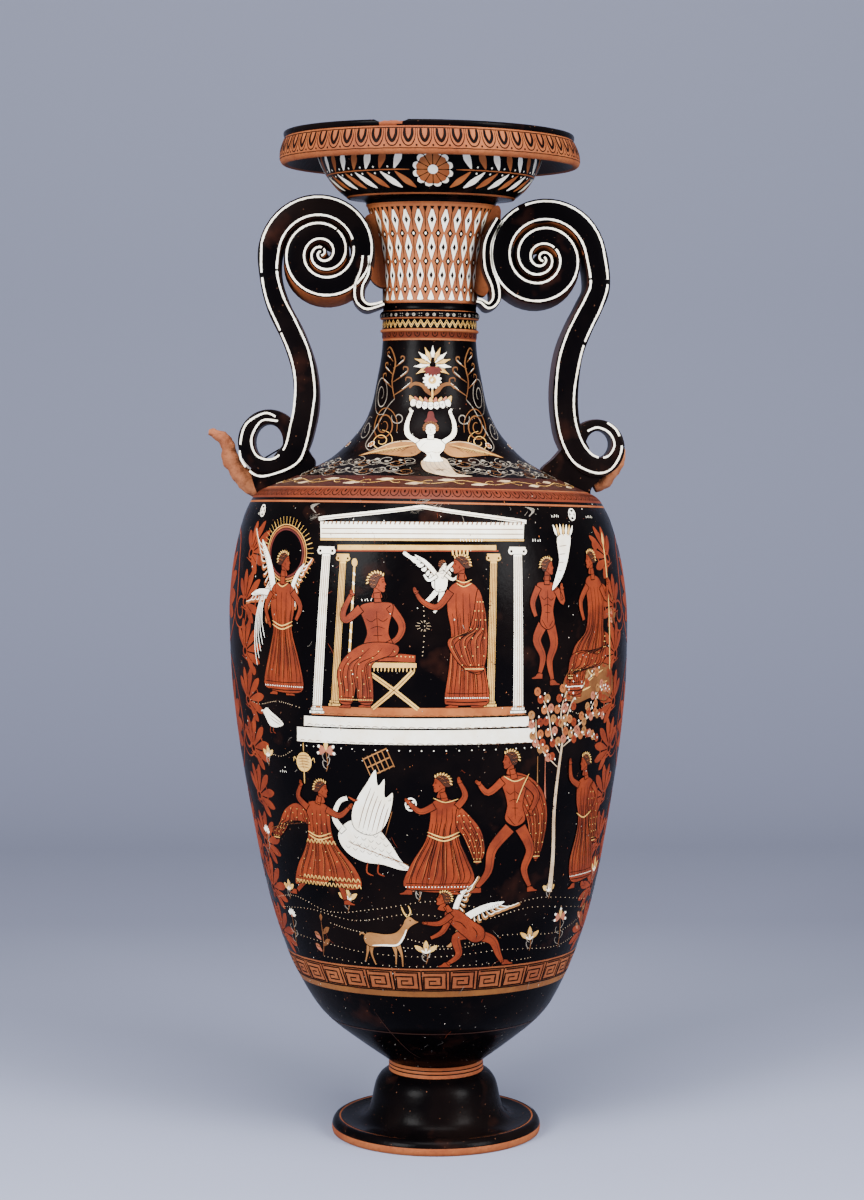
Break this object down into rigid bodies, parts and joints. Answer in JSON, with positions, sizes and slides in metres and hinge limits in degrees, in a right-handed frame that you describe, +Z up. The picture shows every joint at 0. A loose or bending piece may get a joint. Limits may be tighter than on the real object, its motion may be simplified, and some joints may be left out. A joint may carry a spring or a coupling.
{
  "type": "loutrophoros vase",
  "caption": "Tall footed clay vase with a narrow waisted neck, wide overhanging mouth, openwork volute handles and painted red-figure panels.",
  "frame": {"origin": "centre of the foot's underside, on the surface the vase stands on", "axes": "+Z up along the pot's axis, +X towards the right handle seen from the painted front, -Y towards the viewer of the front"},
  "size_m": [0.3799, 0.3576, 0.9022],
  "materials": {
    "fired_clay": "glossy black slip over orange clay, with added white and yellow"
  },
  "bodies": {
    "root": {"loutrophoros": "fired_clay"}
  },
  "joints": []
}
